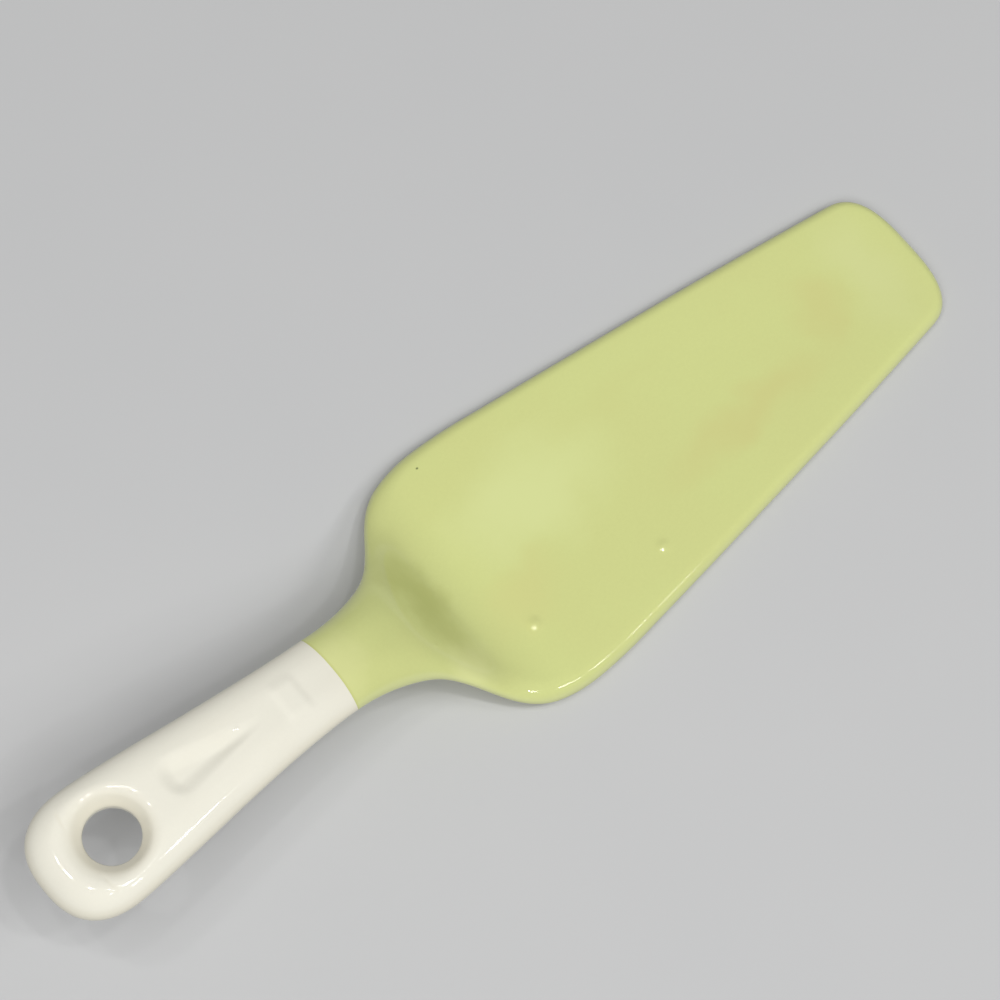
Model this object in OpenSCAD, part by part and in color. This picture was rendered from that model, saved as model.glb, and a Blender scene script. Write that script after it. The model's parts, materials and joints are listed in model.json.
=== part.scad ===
// Cake server of glazed ceramic: one fired clay body under two glaze coats.
// +X runs from the handle's end to the blade's tip, +Z is up, and the blade lies on z = 0.
// The origin is the middle of the object's footprint on the table.

/* [Lengths] */
// Handle, from its rounded end to the narrowest place of the neck
handle_length = 70.7; // [60:0.1:85]
// Sweep, from the narrowest place of the neck to the blade's shoulders
sweep_length = 47; // [38:0.5:60]
// Blade, from its shoulders to the tip
blade_length = 117.3; // [95:0.1:140]

/* [Widths] */
// Width of the handle at its round end
handle_width = 26.7; // [24:0.1:32]
// Width of the neck at its narrowest
neck_width = 18.1; // [14:0.1:22]
// Width of the blade across its shoulders
blade_width = 62.2; // [50:0.1:76]
// Width of the blade at the tip, with its sides carried on past the round corners
tip_width = 32.6; // [24:0.1:44]

/* [Thickness] */
// Thickness of the handle at its end
handle_thickness = 9.4; // [8.6:0.1:12]
// Thickness of the neck, square to its slope
neck_thickness = 7.8; // [6:0.1:10]
// Thickness of the blade at its shoulders
blade_thickness = 5.4; // [4:0.1:7]
// Thickness of the blade at the tip
tip_thickness = 4.6; // [3.6:0.1:6]
// How far the middle of the blade is dished below its rim
blade_dish = 0.6; // [0.2:0.1:1.2]

/* [Handle height] */
// Height of the handle's underside above the table, at its end
handle_lift = 33.3; // [20:0.1:44]

/* [Round ends] */
// Length of the round end of the handle
handle_end_length = 13.9; // [12:0.1:18]
// Length of the blade's round corners at the tip
tip_corner_length = 9; // [6:0.1:14]

/* [Hanging hole] */
// Radius of the finished hole
hole_radius = 5.75; // [4:0.05:6.5]
// Distance of the hole's centre from the handle's end
hole_setback = 16.5; // [14:0.1:20]
// Length of the hole's straight throat
throat_length = 2.2; // [1.6:0.1:3]
// Radius of the dish that leads into the hole from each face
dish_radius = 9.8; // [8:0.1:10.5]

/* [Thumb rest] */
// Distance of the thumb rest's wide end from the handle's end
thumb_start = 29.5; // [28:0.1:36]
// Length of the thumb rest, from its wide end to its point
thumb_length = 26; // [18:0.1:26.5]
// Width of the thumb rest at its wide end
thumb_width = 9.6; // [7:0.1:11]
// Depth of the thumb rest
thumb_depth = 0.9; // [0.6:0.1:1.6]

/* [Raised pad] */
// Distance of the raised pad from the handle's end
pad_start = 57.2; // [56:0.1:60]
// Length of the raised pad
pad_length = 6.5; // [4:0.1:8]
// Width of the raised pad
pad_width = 9.4; // [7:0.1:11]
// Height of the raised pad
pad_height = 0.35; // [0.2:0.05:0.7]

/* [Glaze] */
// Thickness of the glaze coats
glaze_thickness = 0.35; // [0.25:0.01:0.45]
// Distance of the line between the two glazes from the handle's end
glaze_line = 70.3; // [66:0.1:80]
// How far the middle of that line bows towards the blade
glaze_line_bow = 0.7; // [0:0.1:2]

/* [Hidden] */

total_length = handle_length + sweep_length + blade_length;
hole_x = hole_setback;
// A length too small to see, for the slope of a curve and for the flat at each end
fine_step = glaze_thickness / 10;
// How far the cutter of the bore runs past the handle on each side
bore_overrun = handle_thickness;
// Squareness of the two round ends, 2 for an ellipse
handle_end_power = 2.5;
tip_power = 2.8;
// The dish: the slope of its wall, and of the rounded lip outside it, as height over width
dish_slope = 1.25;
lip_slope = 0.55;
// Share of the dish's width that its wall takes
dish_wall_share = 0.48;
// Softness of the thumb rest's walls and of the pad's walls, as shares of their widths
thumb_wall_share = 0.42;
pad_wall_share = 0.24;
// Place along the blade's sweep where the dish of the blade has its full depth
dish_full_share = 0.75;
// Places along the sweep between which it is steepest and turns level, and has the finer rings
ramp_shares = [0.42, 0.86];

// Steps of the mesh: across each edge, across the flat, round each end, and the pitch of the rest
edge_steps = 4;
flat_steps = 14;
end_steps = 10;
tip_steps = 10;
plain_pitch = 2.8;
relief_pitch = 1.3;
ramp_pitch = 1.4;
blade_pitch = 9;
// Under the green glaze the clay takes every second point and every second ring
coarse = 2;

// Place along the object: 0 to 1 is the handle, 1 to 2 the sweep, 2 to 3 the blade
function along(s) =
    s < 1 ? s * handle_length
    : s < 2 ? handle_length + (s - 1) * sweep_length
    : handle_length + sweep_length + (s - 2) * blade_length;

function mix(a, b, share) = a + (b - a) * share;
function clamp(v) = min(max(v, 0), 1);
function soft(v) = let (c = clamp(v)) c * c * (3 - 2 * c);

// A smooth curve through knots [x, value]
function knot_slope(k, i) =
    let (a = max(i - 1, 0), b = min(i + 1, len(k) - 1))
    (k[b][1] - k[a][1]) / (k[b][0] - k[a][0]);
function between(a, b, slope_a, slope_b, t, w) =
    a * (1 - 3 * t * t + 2 * t * t * t)
    + b * (3 * t * t - 2 * t * t * t)
    + slope_a * w * (t - 2 * t * t + t * t * t)
    + slope_b * w * (t * t * t - t * t);
function curve(k, x, i = 0) =
    x <= k[0][0] ? k[0][1]
    : i > len(k) - 2 ? k[len(k) - 1][1]
    : x > k[i + 1][0] ? curve(k, x, i + 1)
    : let (w = k[i + 1][0] - k[i][0])
        between(k[i][1], k[i + 1][1], knot_slope(k, i), knot_slope(k, i + 1), (x - k[i][0]) / w, w);

// Plan: half the width along the object, before its two ends are rounded
handle_shares = [[0, 1], [0.15, 1], [0.23, 0.97], [0.4, 0.73], [0.6, 0.39], [0.78, 0.14], [0.93, 0.01]];
sweep_shares = [
    [0, 0], [0.07, 0.002], [0.2, 0.036], [0.36, 0.132], [0.45, 0.247], [0.53, 0.424],
    [0.6, 0.61], [0.67, 0.77], [0.76, 0.9], [0.88, 0.975], [0.97, 0.999]
];
side_shares = [[0, 1], [0.03, 0.999], [0.1, 0.96], [0.15, 0.91], [0.32, 0.744], [0.66, 0.394], [1, 0]];
plan = concat(
    [for (k = handle_shares) [along(k[0]), mix(neck_width, handle_width, k[1]) / 2]],
    [for (k = sweep_shares) [along(1 + k[0]), mix(neck_width, blade_width, k[1]) / 2]],
    [for (k = side_shares) [along(2 + k[0]), mix(tip_width, blade_width, k[1]) / 2]]
);
// Share of the width that is left at a distance into a rounded end
function end_share(d, length, power) =
    pow(1 - pow(1 - clamp(d / length), power), 1 / power);
function half_width(x) =
    curve(plan, x)
    * end_share(x, handle_end_length, handle_end_power)
    * end_share(total_length - x, tip_corner_length, tip_power);

// Side view: height of the underside, and the thickness square to the slope
handle_lift_shares = [
    [0, 1], [0.1, 1], [0.2, 0.995], [0.36, 0.971], [0.52, 0.934], [0.69, 0.89], [0.866, 0.82], [1, 0.742]
];
middle_lift_shares = [
    [1.12, 0.684], [1.24, 0.602], [1.36, 0.48], [1.44, 0.366], [1.5, 0.268], [1.55, 0.187],
    [1.6, 0.118], [1.65, 0.07], [1.7, 0.041], [1.76, 0.018], [1.84, 0], [2.2, 0]
];
// The two sides of the sweep lie a little lower than its middle
side_lift_shares = [
    [1.14, 0.643], [1.28, 0.52], [1.38, 0.415], [1.45, 0.315], [1.5, 0.237], [1.55, 0.165],
    [1.6, 0.106], [1.65, 0.066], [1.7, 0.04], [1.76, 0.018], [1.84, 0], [2.2, 0]
];
lift = [for (k = concat(handle_lift_shares, middle_lift_shares)) [along(k[0]), handle_lift * k[1]]];
side_lift = [for (k = concat(handle_lift_shares, side_lift_shares)) [along(k[0]), handle_lift * k[1]]];
handle_taper_shares = [[0, 0], [0.3, 0], [1, 1]];
sweep_taper_shares = [[0.45, 0.4], [0.8, 0.55], [1.1, 1]];
thickness = concat(
    [for (k = handle_taper_shares) [along(k[0]), mix(handle_thickness, neck_thickness, k[1])]],
    [for (k = sweep_taper_shares) [along(1 + k[0]), mix(neck_thickness, blade_thickness, k[1])]],
    [[total_length, tip_thickness]]
);
function underside(x) = max(curve(lift, x), 0);
function slope(x) = (underside(x + fine_step) - underside(x - fine_step)) / (2 * fine_step);
// Upright thickness of the full section, and the height of its middle
function upright(x) = curve(thickness, x) * sqrt(1 + slope(x) * slope(x));
function middle(x) = underside(x) + upright(x) / 2;
// How much higher a point at a share of the half width lies than the middle of its section
function side_rise(x, y_share) = (max(curve(side_lift, x), 0) - underside(x)) * y_share * y_share;

// Distance from a point of the plan to the outline
function into_end(u, y, length, half, power) =
    let (
        side = max(abs(y), fine_step),
        f = pow(pow(max(u, 0) / length, power) + pow(side / half, power), 1 / power)
    )
    norm([u, side]) * (1 / f - 1);
function inset(x, y) =
    x < handle_end_length
    ? into_end(handle_end_length - x, y, handle_end_length, curve(plan, x), handle_end_power)
    : total_length - x < tip_corner_length
    ? into_end(x - total_length + tip_corner_length, y, tip_corner_length, curve(plan, x), tip_power)
    : half_width(x) - abs(y);
// Width of the rounding along each side, as a share of the thickness: the handle and the neck are ovals,
// the sweep thins out towards its sides, and the blade is flat with round edges
round_shares = [
    [0, 0.85], [0.8, 0.85], [1, 0.95], [1.25, 1.1], [1.38, 1.5], [1.47, 2.1], [1.56, 2.1],
    [1.66, 1.6], [1.76, 0.9], [1.9, 0.6], [2.05, 0.55], [3, 0.55]
];
round_share = [for (k = round_shares) [along(k[0]), k[1]]];
function round_band(x) = min(curve(round_share, x) * curve(thickness, x), curve(plan, x));
// Share of the thickness that the rounding leaves
function edge_share(x, y) =
    let (t = clamp(inset(x, y) / round_band(x)))
    sqrt(1 - (1 - t) * (1 - t));

// Relief of the top: the thumb rest, the raised pad and the dished blade
function thumb_rest(x, y) =
    let (
        t = (x - thumb_start) / thumb_length,
        half = thumb_width / 2 * clamp(1 - t),
        wall = thumb_wall_share * thumb_width
    )
    thumb_depth * soft((half - abs(y)) / wall + half / thumb_width) * soft(t * thumb_length / wall);
function raised_pad(x, y) =
    let (wall = pad_wall_share * pad_width)
    pad_height
    * soft((x - pad_start) / wall) * soft((pad_start + pad_length - x) / wall)
    * soft((pad_width / 2 - abs(y)) / wall);
function blade_floor(x, y) =
    let (v = y / half_width(x))
    blade_dish * soft((x - along(1)) / (along(1 + dish_full_share) - along(1)))
    * soft((total_length - x) / tip_corner_length) * pow(max(1 - v * v, 0), 2);
function top_relief(x, y) = raised_pad(x, y) - thumb_rest(x, y) - blade_floor(x, y);

// One point of the surface, at a share of the half width, on the top (up = 1) or the underside (up = -1).
// skin is how deep it lies below the outer face of the glaze.
function surface_point(x, y_share, up, skin) =
    let (
        w = half_width(x),
        half = upright(x) / 2 * (1 - 2 * skin / curve(thickness, x)),
        handle_in = skin * clamp(1 - x / handle_end_length),
        tip_in = skin * clamp(1 - (total_length - x) / tip_corner_length),
        near_line = max(0, 1 - abs(x - glaze_line) / handle_end_length),
        bow = glaze_line_bow * (1 - y_share * y_share) * near_line
    )
    [
        x + handle_in - tip_in + bow - total_length / 2,
        (w - skin) * y_share,
        middle(x) + side_rise(x, y_share) + up * half * edge_share(x, w * y_share)
            + (up > 0 ? top_relief(x, w * y_share) : 0)
    ];

// Places across the section, as shares of its half width, from the +Y edge to the -Y edge
function across(x) =
    let (
        band = min(round_band(x) / half_width(x), 0.5),
        edge = [for (i = [0:edge_steps - 1]) 1 - band * (1 - cos(90 * i / edge_steps))]
    )
    concat(
        edge,
        [for (i = [0:flat_steps]) mix(1 - band, band - 1, i / flat_steps)],
        [for (i = [edge_steps - 1:-1:0]) -edge[i]]
    );
// One ring round the object: over the top from +Y to -Y, and back along the underside
half_ring = 2 * edge_steps + flat_steps;
ring_size = 2 * half_ring;
function ring(x, skin, skip) =
    let (y = across(x))
    concat(
        [for (i = [0:skip:half_ring]) surface_point(x, y[i], 1, skin)],
        [for (i = [half_ring - skip:-skip:skip]) surface_point(x, y[i], -1, skin)]
    );

// Rings along the object, each as [place, skip]: skip 1 has every point, and coarse every second
function stretch(a, b, pitch) =
    let (n = coarse * max(1, round((b - a) / pitch / coarse))) [for (i = [1:n]) mix(a, b, i / n)];
end_angle = acos(1 - fine_step / handle_end_length);
tip_angle = acos(1 - fine_step / tip_corner_length);
pad_end = pad_start + pad_length;
handle_rings = [
    for (x = concat(
        [for (i = [0:end_steps]) handle_end_length * (1 - cos(mix(end_angle, 90, i / end_steps)))],
        stretch(handle_end_length, thumb_start, plain_pitch),
        stretch(thumb_start, pad_end, relief_pitch),
        stretch(pad_end, glaze_line, plain_pitch)
    )) [x, 1]
];
blade_places = concat(
    stretch(glaze_line, along(1 + ramp_shares[0]), plain_pitch),
    stretch(along(1 + ramp_shares[0]), along(1 + ramp_shares[1]), ramp_pitch),
    stretch(along(1 + ramp_shares[1]), along(2), plain_pitch),
    stretch(along(2), total_length - tip_corner_length, blade_pitch),
    [for (i = [1:tip_steps])
        total_length - tip_corner_length * (1 - cos(mix(90, tip_angle, i / tip_steps)))]
);
line_ring = [glaze_line, 1];
blade_rings = concat([line_ring], [for (x = blade_places) [x, 1]]);
inner_blade_rings = [for (i = [coarse - 1:coarse:len(blade_places) - 1]) [blade_places[i], coarse]];

// Points and faces of a tube of rings. first is the number of its first point, and out is true where
// its faces look outwards.
function ring_points(rings, skin) = [for (r = rings) each ring(r[0], skin, r[1])];
function ring_first(rings, i, first) =
    i == 0 ? first : ring_first(rings, i - 1, first) + ring_size / rings[i - 1][1];
function facing(face, out) = out ? [for (i = [len(face) - 1:-1:0]) face[i]] : face;
// Faces between a ring of n points from number a and one of n points from number b
function even_band(a, b, n, out) = [
    for (j = [0:n - 1])
        let (k = (j + 1) % n)
        each [facing([a + j, a + k, b + k], out), facing([a + j, b + k, b + j], out)]
];
// Faces between a fine ring from number a and a coarse one of n points from number b
function uneven_band(a, b, n, out) = [
    for (j = [0:n - 1])
        let (k = (j + 1) % n, p = a + coarse * j, q = a + coarse * k)
        each [
            facing([p, p + 1, b + j], out),
            facing([p + 1, q, b + k], out),
            facing([p + 1, b + k, b + j], out)
        ]
];
function tube_faces(rings, first, out) = [
    for (i = [0:len(rings) - 2])
        let (a = ring_first(rings, i, first), b = ring_first(rings, i + 1, first))
        each rings[i][1] == rings[i + 1][1]
            ? even_band(a, b, ring_size / rings[i][1], out)
            : uneven_band(a, b, ring_size / rings[i + 1][1], out)
];
// Closes ring i with strips from its top to its underside
function end_faces(rings, i, first, out) =
    let (a = ring_first(rings, i, first), n = ring_size / rings[i][1])
    [
        for (j = [0:n / 2 - 1])
            each j == 0 ? [facing([a, a + 1, a + n - 1], out)]
            : j == n / 2 - 1 ? [facing([a + j, a + j + 1, a + j + 2], out)]
            : [facing([a + j, a + j + 1, a + n - j - 1], out), facing([a + j, a + n - j - 1, a + n - j], out)]
    ];
module closed_tube(rings, skin) {
    polyhedron(
        points = ring_points(rings, skin),
        faces = concat(
            tube_faces(rings, 0, true),
            end_faces(rings, 0, 0, false),
            end_faces(rings, len(rings) - 1, 0, true)
        ),
        convexity = 10
    );
}

// What the hole and its two dishes take away. From the throat each dish opens with a steep wall and then
// a flatter lip. skin is how deep this cutter lies below the outer face of the glaze.
function square_to(a, b) = [b[1] - a[1], a[0] - b[0]] / norm(b - a);
function mitred(a, b, c, d) =
    let (p = square_to(a, b), q = square_to(b, c)) b + (p + q) * d / (1 + p * q);
module hole_cutter(skin) {
    throat = throat_length / 2;
    wall = (dish_radius - hole_radius) * dish_wall_share;
    a = [hole_radius, 0];
    b = [hole_radius, throat];
    c = [hole_radius + wall, throat + wall * dish_slope];
    d = [c[0] + bore_overrun, c[1] + bore_overrun * lip_slope];
    half = [
        mitred(a, b, c, skin), mitred(b, c, d, skin), d + square_to(c, d) * skin,
        [d[0], bore_overrun + handle_thickness]
    ];
    translate([hole_x - total_length / 2, 0, middle(hole_x)])
        rotate_extrude($fn = 96)
            polygon(concat(
                [[0, half[3][1]], [0, -half[3][1]]],
                [for (i = [3:-1:0]) [half[i][0], -half[i][1]]],
                half
            ));
}

// Fired clay from the handle's end to the tip, with room round the hole for the glaze that lines it
module clay_body() {
    color("#e6d5b8") difference() {
        closed_tube(concat(handle_rings, inner_blade_rings), glaze_thickness);
        hole_cutter(glaze_thickness);
    }
}
// Green glaze over the neck and the blade, from the line to the tip, closed in itself
module green_glaze() {
    inner = concat([line_ring], inner_blade_rings);
    outer_points = ring_points(blade_rings, 0);
    start = len(outer_points);
    color("#c3cb7c") polyhedron(
        points = concat(outer_points, ring_points(inner, glaze_thickness)),
        faces = concat(
            tube_faces(blade_rings, 0, true),
            tube_faces(inner, start, false),
            end_faces(blade_rings, len(blade_rings) - 1, 0, true),
            end_faces(inner, len(inner) - 1, start, false),
            even_band(0, start, ring_size, false)
        ),
        convexity = 10
    );
}
// Ivory glaze over the handle: its outer face, less the clay, with the hole's lining left in
module ivory_glaze() {
    color("#e8e3d6") difference() {
        closed_tube(handle_rings, 0);
        hole_cutter(0);
        clay_body();
    }
}

clay_body();
green_glaze();
ivory_glaze();
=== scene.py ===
import json
import math

import bmesh
import bpy
import numpy as np
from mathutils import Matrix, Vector

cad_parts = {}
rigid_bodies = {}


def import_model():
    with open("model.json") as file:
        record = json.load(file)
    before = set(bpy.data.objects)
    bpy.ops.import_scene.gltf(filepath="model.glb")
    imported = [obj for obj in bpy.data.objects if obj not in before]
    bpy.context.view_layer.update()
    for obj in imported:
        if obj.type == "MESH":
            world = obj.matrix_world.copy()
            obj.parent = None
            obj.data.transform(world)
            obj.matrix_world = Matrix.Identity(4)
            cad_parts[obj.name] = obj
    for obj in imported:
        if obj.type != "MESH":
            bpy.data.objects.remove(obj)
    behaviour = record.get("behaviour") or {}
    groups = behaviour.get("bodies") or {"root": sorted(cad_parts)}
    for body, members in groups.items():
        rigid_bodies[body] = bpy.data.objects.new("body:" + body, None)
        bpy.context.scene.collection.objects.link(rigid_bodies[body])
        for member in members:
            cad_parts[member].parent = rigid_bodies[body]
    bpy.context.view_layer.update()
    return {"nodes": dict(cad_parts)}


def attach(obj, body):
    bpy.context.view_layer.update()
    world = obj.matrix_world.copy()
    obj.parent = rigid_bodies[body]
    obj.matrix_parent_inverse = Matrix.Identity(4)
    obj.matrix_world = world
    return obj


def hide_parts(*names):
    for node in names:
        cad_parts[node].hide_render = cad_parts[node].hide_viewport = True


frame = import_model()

# Camera: above the table, on the handle's side, looking down past the middle of the blade. Its place
# and its turn were fitted to the server's outline by a program.
MM = 0.001
camera_data = bpy.data.cameras.new("camera")
camera_data.lens = 115.2
camera_data.sensor_width = 36.0
camera = bpy.data.objects.new("camera", camera_data)
camera.location = (-160.12 * MM, -109.30 * MM, 643.97 * MM)
camera.rotation_euler = (math.radians(17.425), math.radians(-4.587), math.radians(-40.327))
bpy.context.scene.collection.objects.link(camera)
bpy.context.scene.camera = camera


# The two glaze coats. The real server is one piece of clay, pressed in a mould, and its ivory and
# green glazes are fused to it, edge to edge at a masked line across the neck. They share one smooth
# form, made here from a sheet of cells for its top and one for its underside, and parted at the line.

# Lengths, widths and thicknesses in millimetres, with X from the end of the handle
HANDLE, SWEEP, BLADE = 70.7, 47.0, 117.3
LENGTH = HANDLE + SWEEP + BLADE
HANDLE_WIDTH, NECK_WIDTH, BLADE_WIDTH, TIP_WIDTH = 26.7, 18.1, 62.2, 32.6
HANDLE_THICK, NECK_THICK, BLADE_THICK, TIP_THICK = 9.4, 7.8, 5.4, 4.6
HANDLE_LIFT = 33.3
HANDLE_END, TIP_END = 13.9, 9.0
# How full the two round ends are: 2 is an ellipse, and more is squarer
HANDLE_END_POWER, TIP_POWER = 2.5, 2.8
# How far each end of the skin stays inside the end of the solids
END_GAP = 0.04
HOLE_X, HOLE_R, THROAT = 16.5, 5.75, 2.2
LINE_X, LINE_BOW = 70.3, 0.7
# Depth of the dish in the blade's top, and the share of the sweep over which it comes in
BLADE_DISH, DISH_FULL_SHARE = 0.6, 0.75
# The dish round the hole: the slope and the width of its steep wall, the slope of its lip, the size of
# the rounding where it turns over into the face, and a distance from the hole that is well outside it
WALL_SLOPE, WALL_WIDTH = 1.25, 1.95
LIP_SLOPE = 0.55
TURN_OVER = 1.1
DISH_REACH = 14


def along(share):
    """Place along the server: 0 to 1 is the handle, 1 to 2 the sweep, 2 to 3 the blade."""
    return (min(share, 1) * HANDLE + min(max(share - 1, 0), 1) * SWEEP + max(share - 2, 0) * BLADE)


def mix(a, b, share):
    return a + (b - a) * share


# Half the width in plan before the ends are rounded, the height of the underside, and the thickness
# square to the slope, each as knots of (place, value)
PLAN = [(along(at), mix(NECK_WIDTH, HANDLE_WIDTH, part) / 2) for at, part in (
    (0, 1), (0.15, 1), (0.23, 0.97), (0.4, 0.73), (0.6, 0.39), (0.78, 0.14), (0.93, 0.01))]
PLAN += [(along(1 + at), mix(NECK_WIDTH, BLADE_WIDTH, part) / 2) for at, part in (
    (0, 0), (0.07, 0.002), (0.2, 0.036), (0.36, 0.132), (0.45, 0.247), (0.53, 0.424),
    (0.6, 0.61), (0.67, 0.77), (0.76, 0.9), (0.88, 0.975), (0.97, 0.999))]
PLAN += [(along(2 + at), mix(TIP_WIDTH, BLADE_WIDTH, part) / 2) for at, part in (
    (0, 1), (0.03, 0.999), (0.1, 0.96), (0.15, 0.91), (0.32, 0.744), (0.66, 0.394), (1, 0))]
HANDLE_LIFT_SHARES = ((0, 1), (0.1, 1), (0.2, 0.995), (0.36, 0.971), (0.52, 0.934), (0.69, 0.89),
                      (0.866, 0.82), (1, 0.742))
# The shares along the middle of the sweep weren't chosen by hand: a program fitted them to slopes that
# were estimated from the photograph
MIDDLE_LIFT_SHARES = ((1.12, 0.684), (1.24, 0.602), (1.36, 0.48), (1.44, 0.366), (1.5, 0.268),
                      (1.55, 0.187), (1.6, 0.118), (1.65, 0.07), (1.7, 0.041), (1.76, 0.018),
                      (1.84, 0), (2.2, 0))
# The two sides of the sweep lie a little lower than its middle
SIDE_LIFT_SHARES = ((1.14, 0.643), (1.28, 0.52), (1.38, 0.415), (1.45, 0.315), (1.5, 0.237),
                    (1.55, 0.165), (1.6, 0.106), (1.65, 0.066), (1.7, 0.04), (1.76, 0.018),
                    (1.84, 0), (2.2, 0))
LIFT = [(along(at), HANDLE_LIFT * part) for at, part in HANDLE_LIFT_SHARES + MIDDLE_LIFT_SHARES]
SIDE_LIFT = [(along(at), HANDLE_LIFT * part) for at, part in HANDLE_LIFT_SHARES + SIDE_LIFT_SHARES]
THICK = [(0, HANDLE_THICK), (along(0.3), HANDLE_THICK), (along(1), NECK_THICK),
         (along(1.45), mix(BLADE_THICK, NECK_THICK, 0.6)),
         (along(1.8), mix(BLADE_THICK, NECK_THICK, 0.45)), (along(2.1), BLADE_THICK),
         (LENGTH, TIP_THICK)]
# Width of the rounding along each side, as a share of the thickness. The handle and the neck are ovals,
# the sweep thins out towards its sides, and the blade is flat with round edges.
ROUND = [(along(at), part) for at, part in (
    (0, 0.85), (0.8, 0.85), (1, 0.95), (1.25, 1.1), (1.38, 1.5), (1.47, 2.1), (1.56, 1.92),
    (1.66, 1.36), (1.76, 0.88), (1.9, 0.6), (2.05, 0.55), (3, 0.55))]


def faired(knots, spread):
    """A fair curve near knots of (place, value): a cubic through them, evened out over a spread."""
    k = np.array(knots, float)
    pitch, margin = 0.1, 20.0
    x = np.arange(-margin, LENGTH + margin, pitch)
    i = np.clip(np.searchsorted(k[:, 0], x, side="left") - 1, 0, len(k) - 2)
    lo, hi = np.maximum(np.arange(len(k)) - 1, 0), np.minimum(np.arange(len(k)) + 1, len(k) - 1)
    slope = (k[hi, 1] - k[lo, 1]) / (k[hi, 0] - k[lo, 0])
    w = k[i + 1, 0] - k[i, 0]
    t = np.clip((x - k[i, 0]) / w, 0, 1)
    y = (k[i, 1] * (1 - 3 * t**2 + 2 * t**3) + k[i + 1, 1] * (3 * t**2 - 2 * t**3)
         + slope[i] * w * (t - 2 * t**2 + t**3) + slope[i + 1] * w * (t**3 - t**2))
    reach = np.arange(-3 * spread, 3 * spread + pitch / 2, pitch)
    weight = np.exp(-0.5 * (reach / spread) ** 2)
    even = np.convolve(np.pad(y, len(reach) // 2, mode="edge"), weight / weight.sum(), mode="valid")
    return lambda place: np.interp(place, x, even)


plan = faired(PLAN, 1.2)
lift = faired(LIFT, 2.0)
side_lift = faired(SIDE_LIFT, 2.0)
thick = faired(THICK, 6.0)
round_share = faired(ROUND, 2.0)


def soft(v):
    """0 below 0, 1 above 1, and a smooth step between them."""
    c = np.clip(v, 0, 1)
    return c * c * (3 - 2 * c)


def end_share(d, size, power):
    return (1 - (1 - np.clip(d / size, 0, 1)) ** power) ** (1 / power)


def half_width(x):
    return (plan(x) * end_share(x, HANDLE_END, HANDLE_END_POWER)
            * end_share(LENGTH - x, TIP_END, TIP_POWER))


def underside(x):
    return np.maximum(lift(x), 0)


def upright(x):
    slope = underside(x + 0.5) - underside(x - 0.5)
    return thick(x) * np.sqrt(1 + slope**2)


def middle(x):
    return underside(x) + upright(x) / 2


def side_rise(x, y):
    """How much higher a point lies than the middle of its section."""
    v = np.clip(y / np.maximum(half_width(x), 1e-6), -1, 1)
    return (np.maximum(side_lift(x), 0) - underside(x)) * v * v


def inset(x, y):
    """Distance in plan from the outline."""
    def into_end(u, size, power):
        half = plan(x)
        side = np.maximum(np.abs(y), 0.01)
        f = ((np.maximum(u, 0) / size) ** power + (side / half) ** power) ** (1 / power)
        return np.hypot(u, side) * (1 / f - 1)
    by_handle = into_end(HANDLE_END - x, HANDLE_END, HANDLE_END_POWER)
    by_tip = into_end(x - LENGTH + TIP_END, TIP_END, TIP_POWER)
    by_side = half_width(x) - np.abs(y)
    return np.where(x < HANDLE_END, by_handle, np.where(LENGTH - x < TIP_END, by_tip, by_side))


def round_band(x):
    return np.minimum(round_share(x) * thick(x), plan(x))


def edge_share(x, y):
    """Share of the thickness that the rounding leaves."""
    t = np.clip(inset(x, y) / round_band(x), 0, 1)
    return np.sqrt(1 - (1 - t) ** 2)


HOLE_Z = float(middle(np.array(HOLE_X)))


def face_height(x, y, up):
    """Height of the top (up = 1) or the underside (up = -1), with the dish round the hole."""
    z = middle(x) + side_rise(x, y) + up * upright(x) / 2 * edge_share(x, y)
    if up > 0:
        # The blade is a little dished
        v = np.clip(y / np.maximum(half_width(x), 1e-6), -1, 1)
        full = soft((x - HANDLE) / (DISH_FULL_SHARE * SWEEP)) * soft((LENGTH - x) / TIP_END)
        z = z - BLADE_DISH * full * (1 - v * v) ** 2
    # The dish rises from the throat of the hole in a steep wall, and turns over into the face
    r = np.hypot(x - HOLE_X, y)
    rise = np.maximum(r - HOLE_R, 0)
    wall, lip = np.minimum(rise, WALL_WIDTH), np.maximum(rise - WALL_WIDTH, 0)
    cone = THROAT / 2 + WALL_SLOPE * wall + LIP_SLOPE * lip
    depth = up * (z - HOLE_Z)
    rounded = np.maximum(TURN_OVER - np.abs(depth - cone), 0) ** 2 / (4 * TURN_OVER)
    return np.where(r < DISH_REACH, HOLE_Z + up * (np.minimum(depth, cone) - rounded), z)


# The sheet of cells: rows across, and columns along. The first columns form a block round the hole.
ROWS = 24
HOLE_CELLS = 8
EDGE_ROWS = 8
JOIN_X = 2 * HOLE_X
LIP_R = 9.8
LIP_CELLS = 7
TIP_X = LENGTH - TIP_END
TIP_CELLS = 12
# The columns in between, in stretches of even pitch: where each stretch ends, and its number of cells
columns = np.empty(0)
start = JOIN_X
for end, cells in ((66.0, 37), (LINE_X, 4), (118.0, 32), (TIP_X, 36)):
    columns = np.append(columns, np.linspace(start, end, cells + 1)[1:])
    start = end
LAST = 2 * ROWS + len(columns) + TIP_CELLS


def row_share(v, x):
    """Place of a row across the section, as a share of the half width. Rows crowd at the edges."""
    band = np.minimum(round_band(x) / half_width(x), 0.5)
    flat = 1 - EDGE_ROWS / ROWS
    a = np.abs(v)
    edge = 1 - band * (1 - np.cos(np.radians(90) * np.clip((1 - a) / (1 - flat), 0, 1)))
    return np.sign(v) * np.where(a <= flat, (1 - band) * a / flat, edge)


# Distances from the hole's centre that lie inside and outside the outline, whatever the direction
INSIDE_R, OUTSIDE_R = 5.0, 24.0
# Direction, in degrees from that of the tip, in which the rings' sides meet their backs
BACK_ANGLE = 142


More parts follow.
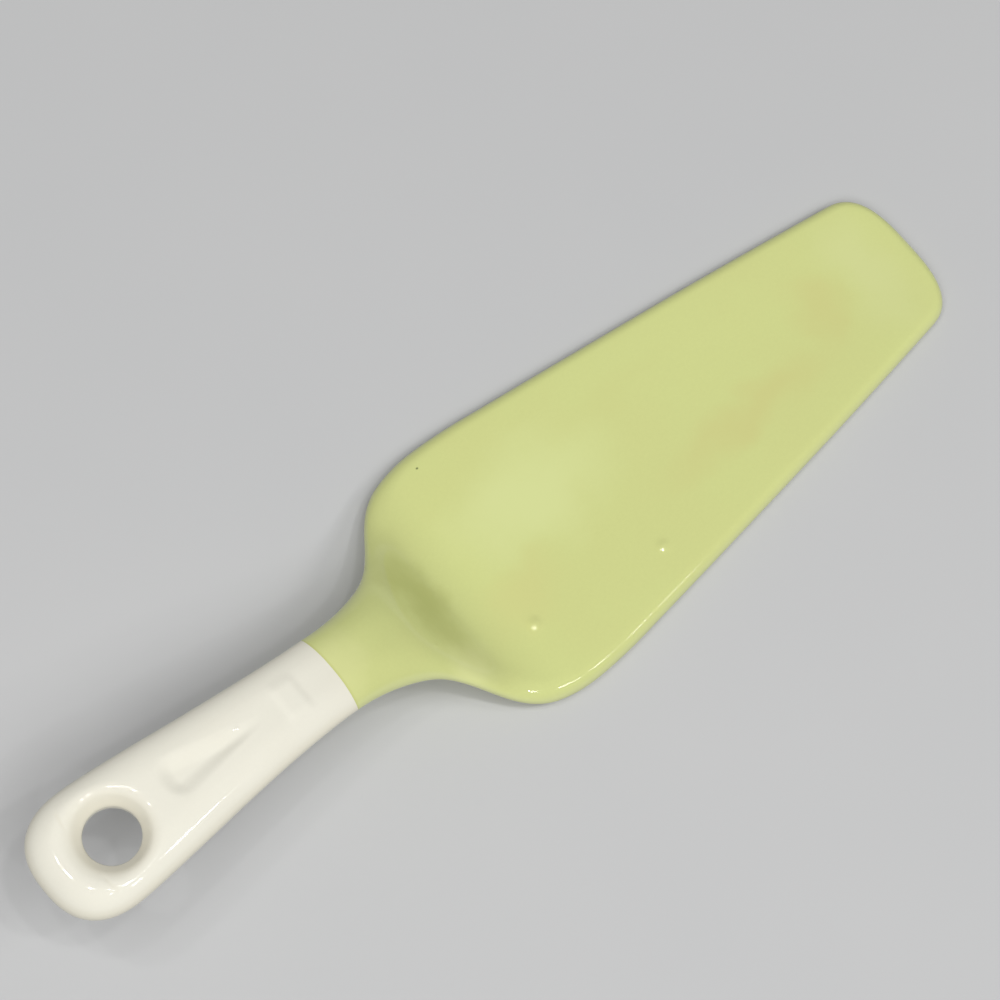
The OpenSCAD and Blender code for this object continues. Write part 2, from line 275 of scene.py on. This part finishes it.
def outline_radius(angle):
    """Distance from the hole's centre to the outline, in the direction of an angle."""
    lo, hi = np.full(angle.shape, INSIDE_R), np.full(angle.shape, OUTSIDE_R)
    for _ in range(40):
        r = (lo + hi) / 2
        x = HOLE_X + r * np.cos(angle)
        inside = (half_width(np.maximum(x, 0)) > np.abs(r * np.sin(angle))) & (x > 0)
        lo, hi = np.where(inside, r, lo), np.where(inside, hi, r)
    return lo


def round_the_hole(i, j):
    """Rings of cells from the hole out to the outline, and to the straight edge at JOIN_X."""
    a, b = i - ROWS, j
    d = np.maximum(np.maximum(np.abs(a), np.abs(b)), 1)
    join = np.full(a.shape, JOIN_X)
    y_join = float(half_width(np.array(JOIN_X)))
    corner = math.atan2(y_join, JOIN_X - HOLE_X)
    back = math.radians(BACK_ANGLE)
    side = np.abs(b) == d
    right = (a == d)
    aim_y = y_join * row_share(b / d, join)
    angle = np.where(
        right, np.arctan2(aim_y, JOIN_X - HOLE_X),
        np.where(side, np.sign(b) * (corner + (back - corner) * (d - a) / (2 * d)),
                 np.where(b >= 0, math.pi - (math.pi - back) * b / d,
                          -math.pi - (math.pi - back) * b / d)))
    far = np.where(right, (JOIN_X - HOLE_X) / np.cos(angle), outline_radius(angle))
    n = np.clip((d - HOLE_CELLS - LIP_CELLS) / (ROWS - HOLE_CELLS - LIP_CELLS), 0, 1)
    ease = np.where(right, soft((1 - np.abs(b / d)) * 3), 0)
    out = (1 - ease) * np.sin(np.radians(90) * n) + ease * n
    lip = HOLE_R + (LIP_R - HOLE_R) * np.clip((d - HOLE_CELLS) / LIP_CELLS, 0, 1)
    r = np.where(d < HOLE_CELLS, HOLE_R * d / HOLE_CELLS, lip + (far - LIP_R) * out * (n > 0))
    return HOLE_X + r * np.cos(angle), r * np.sin(angle)


def round_the_tip(i, j):
    """Cells between the straight section at TIP_X and the round end of the blade."""
    v = j / ROWS
    u = np.sin(np.radians(90) * np.clip((i - (LAST - TIP_CELLS)) / TIP_CELLS, 0, 1))
    share = row_share(v, np.full(v.shape, TIP_X))

    def outline(turn):
        x = TIP_X + TIP_END * np.maximum(np.cos(turn), 0) ** (2 / TIP_POWER)
        return x, plan(x) * np.sign(turn) * np.abs(np.sin(turn)) ** (2 / TIP_POWER)
    w = (1 + share) / 2
    quarter = math.radians(45)
    top, tip = outline(np.radians(90) - quarter * u), outline(quarter * share)
    y0 = float(half_width(np.array(TIP_X)))
    corner = outline(np.array(quarter))
    x = ((1 - u) * TIP_X + u * tip[0] + top[0] - ((1 - u) * TIP_X + u * corner[0]))
    y = ((1 - u) * y0 * share + u * tip[1] + (2 * w - 1) * top[1]
         - ((1 - u) * y0 * share + u * share * corner[1]))
    return x, y


def lay(sheet, up):
    """Lays a sheet of cells on the top or the underside of the form."""
    count = len(sheet.data.vertices)
    co = np.zeros(count * 3)
    sheet.data.vertices.foreach_get("co", co)
    co = co.reshape(-1, 3)
    i = np.rint((co[:, 0] + 0.5) * LAST)
    j = np.rint((co[:, 1] + 0.5) * 2 * ROWS) - ROWS
    head = i <= 2 * ROWS
    tip = i >= LAST - TIP_CELLS
    x = columns[np.clip(i - 2 * ROWS - 1, 0, len(columns) - 1).astype(int)]
    share = row_share(j / ROWS, x)
    y = half_width(x) * share
    x = x + LINE_BOW * (1 - share**2) * np.maximum(0, 1 - np.abs(x - LINE_X) / HANDLE_END)
    hx, hy = round_the_hole(i, j)
    tx, ty = round_the_tip(i, j)
    x, y = np.where(head, hx, np.where(tip, tx, x)), np.where(head, hy, np.where(tip, ty, y))
    z = face_height(x, y, up)
    rim = (np.abs(j) == ROWS) | (i == 0) | (i == LAST)
    z = np.where(rim, middle(x) + side_rise(x, y), z)
    throat = head & (np.maximum(np.abs(i - ROWS), np.abs(j)) <= HOLE_CELLS)
    z = np.where(throat, HOLE_Z + up * THROAT / 2, z)
    co = np.stack([x - LENGTH / 2, y, z], 1) * MM
    sheet.data.vertices.foreach_set("co", co.ravel())
    sheet.data.update()


bpy.ops.object.select_all(action="DESELECT")
bpy.ops.mesh.primitive_grid_add(x_subdivisions=LAST, y_subdivisions=2 * ROWS, size=1)
skin = bpy.context.object
skin.name = "ivory_coat"
# The cells over the hole come out
bpy.ops.object.mode_set(mode="EDIT")
bpy.ops.mesh.select_all(action="DESELECT")
bm = bmesh.from_edit_mesh(skin.data)
for face in bm.faces:
    c = face.calc_center_median()
    column, row = (c.x + 0.5) * LAST - ROWS, c.y * 2 * ROWS
    face.select_set(max(abs(column), abs(row)) < HOLE_CELLS)
bmesh.update_edit_mesh(skin.data)
bpy.ops.mesh.delete(type="FACE")
bpy.ops.object.mode_set(mode="OBJECT")
# A second sheet for the underside, and each sheet laid on its side of the form
bpy.ops.object.duplicate()
under = bpy.context.object
lay(skin, 1)
lay(under, -1)
bpy.ops.object.mode_set(mode="EDIT")
bpy.ops.mesh.select_all(action="SELECT")
bpy.ops.mesh.flip_normals()
bpy.ops.object.mode_set(mode="OBJECT")
bpy.ops.object.select_all(action="DESELECT")
skin.select_set(True)
bpy.context.view_layer.objects.active = skin
# The hole's throat is drawn down from the edge of the top sheet
bpy.ops.object.mode_set(mode="EDIT")
bpy.ops.mesh.select_mode(type="EDGE")
bpy.ops.mesh.select_all(action="DESELECT")
bm = bmesh.from_edit_mesh(skin.data)
for edge in bm.edges:
    c = (edge.verts[0].co + edge.verts[1].co) / 2
    edge.select_set(edge.is_boundary and math.hypot(c.x / MM + LENGTH / 2 - HOLE_X, c.y / MM) < HOLE_R)
bmesh.update_edit_mesh(skin.data)
for _ in range(4):
    bpy.ops.mesh.extrude_region_move(TRANSFORM_OT_translate={"value": (0, 0, -THROAT / 4 * MM)})
bpy.ops.object.mode_set(mode="OBJECT")
under.select_set(True)
bpy.ops.object.join()
# The two sheets are sewn together along the outline and in the throat
bpy.ops.object.mode_set(mode="EDIT")
bpy.ops.mesh.select_all(action="SELECT")
bpy.ops.mesh.remove_doubles(threshold=0.00001)
# The masked line is marked, to part the skin there
bpy.ops.mesh.select_all(action="DESELECT")
bm = bmesh.from_edit_mesh(skin.data)
for edge in bm.edges:
    on_line = True
    for v in edge.verts:
        x, y = v.co.x / MM + LENGTH / 2, v.co.y / MM
        share = y / float(half_width(np.array(LINE_X)))
        on_line = on_line and abs(x - LINE_X - LINE_BOW * (1 - share**2)) < 0.05
    edge.seam = on_line
bmesh.update_edit_mesh(skin.data)
bpy.ops.object.mode_set(mode="OBJECT")
smooth = skin.modifiers.new("smooth", "SUBSURF")
smooth.levels = smooth.render_levels = 1
bpy.ops.object.modifier_apply(modifier=smooth.name)
bpy.ops.object.shade_smooth()

# Small pimples that the firing left in the glaze: place, height and size
PIMPLES = [(114.7, -14.3, 0.392, 0.95), (146.9, -18.3, 0.37, 0.85), (92.7, -7.2, 0.12, 0.3),
           (48.1, 1.5, 0.12, 0.3)]
# Places under the blade where the pins of the kiln's stilt held it: shallow pits
PINS = [(128.0, 17.0), (128.0, -17.0), (196.0, 0.0)]
PIN_DEPTH, PIN_RADIUS = 0.12, 0.7
# Cells this near to a pimple or a pit are made finer
SPOT_REACH = 2.2
bpy.ops.object.mode_set(mode="EDIT")
bpy.ops.mesh.select_mode(type="FACE")
bpy.ops.mesh.select_all(action="DESELECT")
bm = bmesh.from_edit_mesh(skin.data)
for face in bm.faces:
    c = face.calc_center_median() / MM
    spots = PIMPLES if face.normal.z > 0.3 else PINS
    near = min(math.hypot(c.x + LENGTH / 2 - s[0], c.y - s[1]) for s in spots)
    face.select_set(abs(face.normal.z) > 0.3 and near < SPOT_REACH)
bmesh.update_edit_mesh(skin.data)
bpy.ops.mesh.subdivide(number_cuts=3)
bpy.ops.object.mode_set(mode="OBJECT")


# The hollow for the thumb: where it starts, its length and depth, and how far its steep side and its
# gentle side reach from the middle where it is widest
THUMB_START, THUMB_LENGTH, THUMB_DEPTH = 29.5, 27, 1.0
STEEP_REACH, GENTLE_REACH = 3.5, 5.0
# The wide end is bowed: where its wall begins in the middle, and how the bow grows with the distance
WIDE_END, END_BOW = 29.2, 0.08
# Widths of its walls. The steep one is wider where the hollow is wide.
STEEP_WALL, STEEP_WALL_GAIN = 1.8, 2.6
GENTLE_WALL, END_WALL = 4.5, 3.8


def thumb_rest(x, y):
    """Depth of the hollow for the thumb, a scoop that narrows to a point towards the neck. Its wall is
    steep on one side and gentle on the other."""
    left = np.clip(1 - (x - THUMB_START) / THUMB_LENGTH, 0, 1)
    steep = soft((y + STEEP_REACH * left) / (STEEP_WALL + STEEP_WALL_GAIN * left) + 0.25)
    gentle = soft((GENTLE_REACH * left - y) / GENTLE_WALL + 0.12 + 0.35 * left)
    end = soft((x - WIDE_END - END_BOW * (y - 1) ** 2) / END_WALL)
    return THUMB_DEPTH * steep * gentle * end * soft(left * 2.6)


# The low pad by the masked line: its ends, half its width, its height, and the widths of its walls
PAD_START, PAD_END, PAD_HALF, PAD_HEIGHT = 57.0, 64.0, 5.4, 0.35
PAD_END_WALL, PAD_SIDE_WALL = 2.0, 3.0


def raised_pad(x, y):
    return (PAD_HEIGHT * soft((x - PAD_START) / PAD_END_WALL) * soft((PAD_END - x) / PAD_END_WALL)
            * soft((PAD_HALF - np.abs(y)) / PAD_SIDE_WALL))


# The mould folds: a place that each passes through, how much they slant, their width and depth, how far
# from the middle each starts and ends, and the length over which it fades out there
FOLD_X, FOLD_Y, FOLD_SLANT = 10.2, 7, 0.12
FOLD_WIDTH, FOLD_DEPTH = 0.4, 0.09
FOLD_START, FOLD_END, FOLD_FADE = 5.0, 10.4, 1.5


def mould_folds(x, y):
    """Depth of the two short folds beside the dish, where the mould's plug met its face."""
    off = x - FOLD_X - FOLD_SLANT * (np.abs(y) - FOLD_Y)
    return FOLD_DEPTH * np.exp(-(off / FOLD_WIDTH) ** 2) * (
        soft((np.abs(y) - FOLD_START) / FOLD_FADE) * soft((FOLD_END - np.abs(y)) / FOLD_FADE))


def pimples(x, y):
    return sum(high * np.exp(-((x - px) ** 2 + (y - py) ** 2) / (2 * size**2))
               for px, py, high, size in PIMPLES)


def pin_pits(x, y):
    return sum(PIN_DEPTH * soft(2 - np.hypot(x - px, y - py) / PIN_RADIUS) for px, py in PINS)


# The relief is pressed into the top, and the pits into the underside
count = len(skin.data.vertices)
co, normal = np.zeros(count * 3), np.zeros(count * 3)
skin.data.vertices.foreach_get("co", co)
skin.data.vertex_normals.foreach_get("vector", normal)
co, normal = co.reshape(-1, 3), normal.reshape(-1, 3)
x, y = co[:, 0] / MM + LENGTH / 2, co[:, 1] / MM
press = raised_pad(x, y) - thumb_rest(x, y) - mould_folds(x, y) + pimples(x, y)
co[:, 2] += MM * np.where(normal[:, 2] > 0.25, press, np.where(normal[:, 2] < -0.9, pin_pits(x, y), 0))
# Both ends are drawn in by a hair, to stay inside the solids
co[:, 0] *= 1 - END_GAP / (LENGTH / 2)
skin.data.vertices.foreach_set("co", co.ravel())
skin.data.update()

# What the glaze does where it lies, kept on the mesh for the materials: how thin it has drawn on the
# edges, how deep it has pooled, and how far it is past the masked line, in millimetres
THIN_REACH = 1.8
POOL_R, POOL_FADE = 10.2, 4.2
thin = soft(1 - inset(x, y) / THIN_REACH)
hole_r = np.hypot(x - HOLE_X, y)
pooled = np.maximum(soft((POOL_R - hole_r) / POOL_FADE), 0.5 * mould_folds(x, y) / FOLD_DEPTH)
share = y / half_width(np.clip(x, 1, LENGTH - 1))
past_line = x - LINE_X - LINE_BOW * (1 - share**2)
for name, value in (("thin", thin), ("pooled", pooled), ("past_line", past_line)):
    skin.data.attributes.new(name, "FLOAT", "POINT").data.foreach_set("value", value.astype(np.float32))

# The skin is parted at the line, and each coat is closed there
bpy.ops.object.mode_set(mode="EDIT")
bpy.ops.mesh.select_mode(type="FACE")
bpy.ops.mesh.select_all(action="DESELECT")
bm = bmesh.from_edit_mesh(skin.data)
bm.faces.ensure_lookup_table()
blade_face = max(bm.faces, key=lambda face: face.calc_center_median().x)
blade_face.select_set(True)
bm.faces.active = blade_face
bmesh.update_edit_mesh(skin.data)
bpy.ops.mesh.select_linked(delimit={"SEAM"})
bpy.ops.mesh.separate(type="SELECTED")
bpy.ops.object.mode_set(mode="OBJECT")
ivory_coat = skin
green_coat = [o for o in bpy.context.selected_objects if o != skin][0]
green_coat.name = "green_coat"
for coat in (ivory_coat, green_coat):
    bpy.ops.object.select_all(action="DESELECT")
    coat.select_set(True)
    bpy.context.view_layer.objects.active = coat
    bpy.ops.object.mode_set(mode="EDIT")
    bpy.ops.mesh.select_mode(type="EDGE")
    bpy.ops.mesh.select_all(action="DESELECT")
    bpy.ops.mesh.select_non_manifold()
    bpy.ops.mesh.mark_sharp()
    bpy.ops.mesh.fill()
    bpy.ops.mesh.select_all(action="SELECT")
    bpy.ops.mesh.normals_make_consistent(inside=False)
    bpy.ops.object.mode_set(mode="OBJECT")
    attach(coat, "root")


def new_group(name, inputs, outputs):
    """A shader group with named sockets, and its two end nodes."""
    group = bpy.data.node_groups.new(name, "ShaderNodeTree")
    for label, kind, value in inputs:
        socket = group.interface.new_socket(label, in_out="INPUT", socket_type=kind)
        socket.default_value = value
    for label, kind in outputs:
        group.interface.new_socket(label, in_out="OUTPUT", socket_type=kind)
    return group, group.nodes.new("NodeGroupInput"), group.nodes.new("NodeGroupOutput")


def add(tree, kind, settings=None, **sockets):
    """A node with its settings, and with each named socket set or linked."""
    node = tree.nodes.new("ShaderNode" + kind)
    for key, value in (settings or {}).items():
        setattr(node, key, value)
    for key, value in sockets.items():
        feed(tree, node.inputs[key.replace("_", " ")], value)
    return node


def feed(tree, socket, value):
    if isinstance(value, bpy.types.NodeSocket):
        tree.links.new(value, socket)
    else:
        socket.default_value = value


def calc(tree, operation, *values):
    node = tree.nodes.new("ShaderNodeMath")
    node.operation = operation
    for k, value in enumerate(values):
        feed(tree, node.inputs[k], value)
    return node.outputs[0]


def vector_calc(tree, operation, *values):
    node = tree.nodes.new("ShaderNodeVectorMath")
    node.operation = operation
    for k, value in enumerate(values):
        feed(tree, node.inputs[k], value)
    return node


def blend(tree, share, a, b):
    node = tree.nodes.new("ShaderNodeMix")
    node.data_type = "RGBA"
    feed(tree, node.inputs[0], share)
    feed(tree, node.inputs[6], a)
    feed(tree, node.inputs[7], b)
    return node.outputs[2]


# Fired glaze: soft clouds of colour, a fine grain from the clay under it, paler where it has drawn
# thin and deeper where it has pooled, and a surface that ripples a little
glaze, given, out = new_group(
    "fired_glaze",
    [("Colour", "NodeSocketColor", (0.8, 0.8, 0.8, 1)), ("Clouds", "NodeSocketColor", (0.8, 0.8, 0.8, 1)),
     ("Thin", "NodeSocketColor", (0.8, 0.8, 0.8, 1)), ("Pooled", "NodeSocketColor", (0.8, 0.8, 0.8, 1)),
     ("Cloudiness", "NodeSocketFloat", 0.5), ("Grain", "NodeSocketFloat", 0.04)],
    [("Colour", "NodeSocketColor"), ("Roughness", "NodeSocketFloat"), ("Height", "NodeSocketFloat")])
place = add(glaze, "TexCoord").outputs["Object"]
cloud = add(glaze, "TexNoise", Vector=place, Scale=38.0, Detail=3.0, Roughness=0.55).outputs["Fac"]
cloud = add(glaze, "MapRange", {"interpolation_type": "SMOOTHSTEP"},
            Value=cloud, From_Min=0.38, From_Max=0.68).outputs["Result"]
colour = blend(glaze, calc(glaze, "MULTIPLY", cloud, given.outputs["Cloudiness"]),
               given.outputs["Colour"], given.outputs["Clouds"])
grain = add(glaze, "TexNoise", Vector=place, Scale=1400.0, Detail=3.0, Roughness=0.7).outputs["Fac"]
grain = calc(glaze, "MULTIPLY", calc(glaze, "SUBTRACT", grain, 0.5), given.outputs["Grain"])
grain = calc(glaze, "ADD", 1.0, calc(glaze, "MULTIPLY", grain, 2.0))
colour = add(glaze, "VectorMath", {"operation": "SCALE"}, Vector=colour, Scale=grain).outputs["Vector"]
thin = add(glaze, "Attribute", {"attribute_name": "thin"}).outputs["Fac"]
pooled = add(glaze, "Attribute", {"attribute_name": "pooled"}).outputs["Fac"]
colour = blend(glaze, thin, colour, given.outputs["Thin"])
colour = blend(glaze, pooled, colour, given.outputs["Pooled"])
glaze.links.new(colour, out.inputs["Colour"])
sheen = add(glaze, "TexNoise", Vector=place, Scale=90.0, Detail=2.0).outputs["Fac"]
glaze.links.new(add(glaze, "MapRange", Value=sheen, From_Min=0.3, From_Max=0.7, To_Min=0.04,
                    To_Max=0.08).outputs["Result"], out.inputs["Roughness"])
ripple = add(glaze, "TexNoise", Vector=place, Scale=120.0, Detail=1.0).outputs["Fac"]
peel = add(glaze, "TexNoise", Vector=place, Scale=700.0, Detail=1.0).outputs["Fac"]
glaze.links.new(calc(glaze, "ADD", ripple, calc(glaze, "MULTIPLY", peel, 0.06)), out.inputs["Height"])


def glazed(name, ripple_depth, **values):
    """A glaze material, its shader and its fired_glaze group."""
    material = bpy.data.materials.new(name)
    material.use_nodes = True
    tree = material.node_tree
    shader = tree.nodes["Principled BSDF"]
    shader.inputs["IOR"].default_value = 1.5
    group = tree.nodes.new("ShaderNodeGroup")
    group.node_tree = glaze
    for key, value in values.items():
        group.inputs[key].default_value = value
    tree.links.new(group.outputs["Roughness"], shader.inputs["Roughness"])
    bump = add(tree, "Bump", Height=group.outputs["Height"], Strength=1.0, Distance=ripple_depth)
    tree.links.new(bump.outputs["Normal"], shader.inputs["Normal"])
    return material, tree, shader, group.outputs["Colour"]


# The ivory coat covers the handle and lines the hanging hole. It is an opaque tin-white glaze over
# buff clay, a little warmer where it has pooled in the dish and where it thins on the edges.
ivory, tree, shader, colour = glazed(
    "ivory_glaze", 0.00006, Colour=(0.80, 0.778, 0.675, 1), Clouds=(0.775, 0.745, 0.635, 1),
    Thin=(0.76, 0.725, 0.60, 1), Pooled=(0.755, 0.72, 0.60, 1), Cloudiness=0.5, Grain=0.02)
tree.links.new(colour, shader.inputs["Base Color"])
ivory_coat.data.materials.clear()
ivory_coat.data.materials.append(ivory)
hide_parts("ivory_glaze")

# The green coat covers the neck and the blade. It is a yellow-green glaze over the same clay, with
# faint tan clouds along the near side of the blade, and a deeper green where it thickens at the line.
green, tree, shader, colour = glazed(
    "green_glaze", 0.00006, Colour=(0.605, 0.645, 0.262, 1), Clouds=(0.60, 0.622, 0.255, 1),
    Thin=(0.62, 0.655, 0.30, 1), Pooled=(0.47, 0.50, 0.18, 1), Cloudiness=0.5, Grain=0.03)
place = add(tree, "TexCoord").outputs["Object"]
waver = add(tree, "TexNoise", Vector=place, Scale=70.0, Detail=4.0).outputs["Color"]
waver = vector_calc(tree, "SUBTRACT", waver, (0.5, 0.5, 0.5)).outputs["Vector"]
waver = vector_calc(tree, "MULTIPLY", waver, (0.016, 0.016, 0)).outputs["Vector"]
uneven = vector_calc(tree, "ADD", place, waver).outputs["Vector"]


def patch(x, y, reach_x, reach_y, rim, z=0, reach_z=1000):
    """A soft patch on the blade: 1 in its middle, at a place in millimetres, and 0 outside its reach."""
    middle_at = ((x - LENGTH / 2) * MM, y * MM, z * MM)
    away = vector_calc(tree, "SUBTRACT", rim, middle_at).outputs["Vector"]
    away = vector_calc(tree, "DIVIDE", away, (reach_x * MM, reach_y * MM, reach_z * MM)).outputs["Vector"]
    away = vector_calc(tree, "LENGTH", away).outputs["Value"]
    return add(tree, "MapRange", {"interpolation_type": "SMOOTHSTEP"}, Value=away,
               From_Min=1.0, From_Max=0.1).outputs["Result"]


# Pale clouds behind the shoulders and at the tip, tan ones along the near side, and a dark speck. The
# deeper green at the ramp's foot is painted shade along its dark band, and the pale patches at its near
# end and on the neck are painted light
for x, y, reach_x, reach_y, strength, tint in (
        (97.5, 5, 6.5, 17, 0.8, (0.50, 0.53, 0.185, 1)), (98, -15, 8, 9, 0.9, (0.68, 0.71, 0.32, 1)),
        (73, -1, 9, 8, 0.8, (0.67, 0.695, 0.31, 1)),
        (132, 7, 28, 17, 0.9, (0.65, 0.695, 0.31, 1)), (222, 0, 10, 22, 0.7, (0.63, 0.665, 0.30, 1)),
        (118, -8, 16, 9, 0.6, (0.615, 0.61, 0.25, 1)), (181, -8.5, 30, 6.5, 0.9, (0.60, 0.595, 0.24, 1)),
        (208, 1, 9, 12, 0.8, (0.60, 0.595, 0.24, 1)), (160, 14, 22, 5, 0.5, (0.595, 0.62, 0.25, 1))):
    share = calc(tree, "MULTIPLY", patch(x, y, reach_x, reach_y, uneven), strength)
    colour = blend(tree, share, colour, tint)
speck = patch(117.3, 27, 0.45, 0.35, place, BLADE_THICK, BLADE_THICK)
colour = blend(tree, speck, colour, (0.10, 0.13, 0.05, 1))
past = add(tree, "Attribute", {"attribute_name": "past_line"}).outputs["Fac"]
by_line = add(tree, "MapRange", {"interpolation_type": "SMOOTHSTEP"},
              Value=past, From_Min=0.8, From_Max=0.0).outputs["Result"]
colour = blend(tree, calc(tree, "MULTIPLY", by_line, 0.5), colour, (0.50, 0.52, 0.16, 1))
tree.links.new(colour, shader.inputs["Base Color"])
green_coat.data.materials.clear()
green_coat.data.materials.append(green)
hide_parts("green_glaze")

# The clay body under the glaze: buff earthenware, pressed in a mould and fired once before it is
# glazed. It is matt and a little sandy.
clay = bpy.data.materials.new("buff_clay")
clay.use_nodes = True
tree = clay.node_tree
shader = tree.nodes["Principled BSDF"]
place = add(tree, "TexCoord").outputs["Object"]
body = add(tree, "TexNoise", Vector=place, Scale=150.0, Detail=4.0).outputs["Fac"]
sand = add(tree, "TexNoise", Vector=place, Scale=2500.0, Detail=2.0).outputs["Fac"]
tree.links.new(blend(tree, body, (0.80, 0.66, 0.48, 1), (0.72, 0.56, 0.38, 1)),
               shader.inputs["Base Color"])
tree.links.new(add(tree, "MapRange", Value=sand, To_Min=0.75, To_Max=0.95).outputs["Result"],
               shader.inputs["Roughness"])
tree.links.new(add(tree, "Bump", Height=sand, Distance=0.00005).outputs["Normal"],
               shader.inputs["Normal"])
clay_body = frame["nodes"]["clay_body"]
clay_body.data.materials.clear()
clay_body.data.materials.append(clay)

# The table: a plain pale surface of matt laminate in a white room. Two broad lamps light it softly, and
# eight small ones make the glints in the glaze.
bpy.ops.object.select_all(action="DESELECT")
bpy.ops.mesh.primitive_plane_add(size=6, location=(0, 0, -0.00003))
floor = bpy.context.object
floor.name = "floor"
table = bpy.data.materials.new("pale_table")
table.use_nodes = True
tree = table.node_tree
shader = tree.nodes["Principled BSDF"]
shader.inputs["Roughness"].default_value = 0.6
place = add(tree, "TexCoord").outputs["Object"]
cloud = add(tree, "TexNoise", Vector=place, Scale=9.0, Detail=3.0).outputs["Fac"]
tree.links.new(blend(tree, cloud, (0.50, 0.505, 0.51, 1), (0.54, 0.54, 0.54, 1)),
               shader.inputs["Base Color"])
floor.data.materials.append(table)

world = bpy.data.worlds.new("studio")
bpy.context.scene.world = world
world.use_nodes = True
background = world.node_tree.nodes["Background"]
background.inputs["Color"].default_value = (1, 1, 1, 1)
background.inputs["Strength"].default_value = 0.12
for name, power, size, at in (
        ("soft_lamp", 18.5, 1.2, (-0.5, -0.35, 1.5)),
        ("right_fill", 6.0, 0.4, (0.95, -0.8, 1.5)),
        ("right_lamp", 0.4, 0.03, (0.76, -1.08, 1.5)),
        ("front_right_lamp", 1.1, 0.12, (0.62, -1.15, 1.5)),
        ("front_lamp", 1.1, 0.12, (0.3, -1.3, 1.5)),
        ("near_lamp", 0.9, 0.035, (-0.18, -0.76, 1.5)),
        ("mid_right_lamp", 1.5, 0.055, (0.20, -0.44, 1.5)),
        ("middle_lamp", 1.5, 0.055, (0.04, -0.21, 1.5)),
        ("mid_left_lamp", 0.8, 0.035, (-0.16, 0.07, 1.5)),
        ("left_lamp", 0.8, 0.035, (-0.305, 0.274, 1.5))):
    lamp_data = bpy.data.lights.new(name, "AREA")
    lamp_data.energy = power
    lamp_data.size = size
    lamp = bpy.data.objects.new(name, lamp_data)
    lamp.location = at
    lamp.rotation_euler = Vector(at).to_track_quat("Z", "Y").to_euler()
    # Only the small lamps show in the gloss
    lamp.visible_glossy = size < 0.2
    bpy.context.scene.collection.objects.link(lamp)
bpy.context.scene.view_settings.view_transform = "Standard"
